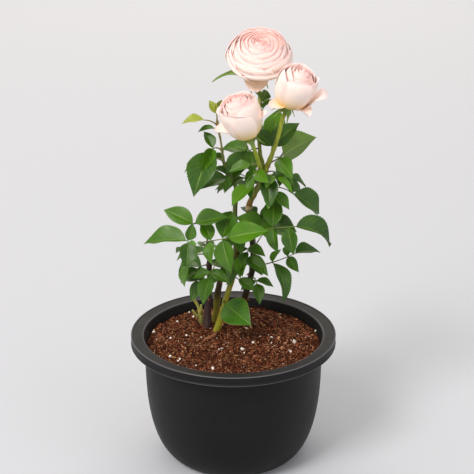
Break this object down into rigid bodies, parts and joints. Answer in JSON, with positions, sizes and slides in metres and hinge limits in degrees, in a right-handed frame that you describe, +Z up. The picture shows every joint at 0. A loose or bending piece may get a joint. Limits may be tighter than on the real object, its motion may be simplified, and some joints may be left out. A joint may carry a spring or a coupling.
{
  "type": "potted rose bush",
  "caption": "Young double-flowered rose bush with pale blush blooms and compound leaves on bent canes, growing in a round black nursery pot of potting mix.",
  "frame": {"origin": "centre of the pot's flat underside, on the ground", "axes": "+Z up; -Y faces the viewer; +X is the picture's right"},
  "size_m": [0.23, 0.23, 0.4773],
  "materials": {
    "pot": "matt black moulded plastic",
    "soil": "loose damp potting mix of coir and peat",
    "cane_green": "smooth green bark",
    "cane_old": "dark purple-brown bark",
    "stub": "pale green pruned wood",
    "root": "tan root bark",
    "petal": "soft satin petals",
    "calyx": "waxy green",
    "leaf": "waxy dark green",
    "leaf_young": "olive young leaf"
  },
  "bodies": {
    "root": {"pot": "pot", "soil": "soil", "cane_front": "cane_green", "cane_back": "cane_green", "neck_left": "cane_green", "neck_top": "cane_green", "cane_old_left": "cane_old", "cane_old_back": "cane_old", "pruned_stubs": "stub", "surface_root": "root", "bloom_top": "petal", "calyx_top": "calyx", "bloom_left": "petal", "calyx_left": "calyx", "bloom_right": "petal", "calyx_right": "calyx", "leaf_left_arching": "leaf", "leaf_front_centre": "leaf", "leaf_right_upper": "leaf", "leaf_right_lower": "leaf", "leaf_left_low": "leaf", "leaf_front_low": "leaf", "leaf_centre_back": "leaf", "leaf_right_drooping": "leaf", "leaf_shoot_low": "leaf", "leaf_shoot_large": "leaf", "leaf_young_side": "leaf_young", "leaf_young_tip": "leaf_young", "leaf_shoot_small": "leaf", "leaf_under_bloom": "leaf", "leaf_neck_left": "leaf", "leaf_right_behind": "leaf", "leaf_right_raised": "leaf", "leaf_right_small": "leaf", "leaf_fork_hanging": "leaf", "leaf_between_blooms": "leaf", "leaf_inner_front": "leaf", "leaf_inner_low": "leaf", "leaf_inner_right": "leaf", "leaf_inner_left": "leaf", "leaf_mid_left": "leaf", "leaf_mid_right": "leaf", "leaf_rear_low": "leaf", "leaf_rear_right": "leaf", "leaf_rear_centre": "leaf", "leaf_rear_top": "leaf", "leaf_rear_left": "leaf"}
  },
  "joints": []
}
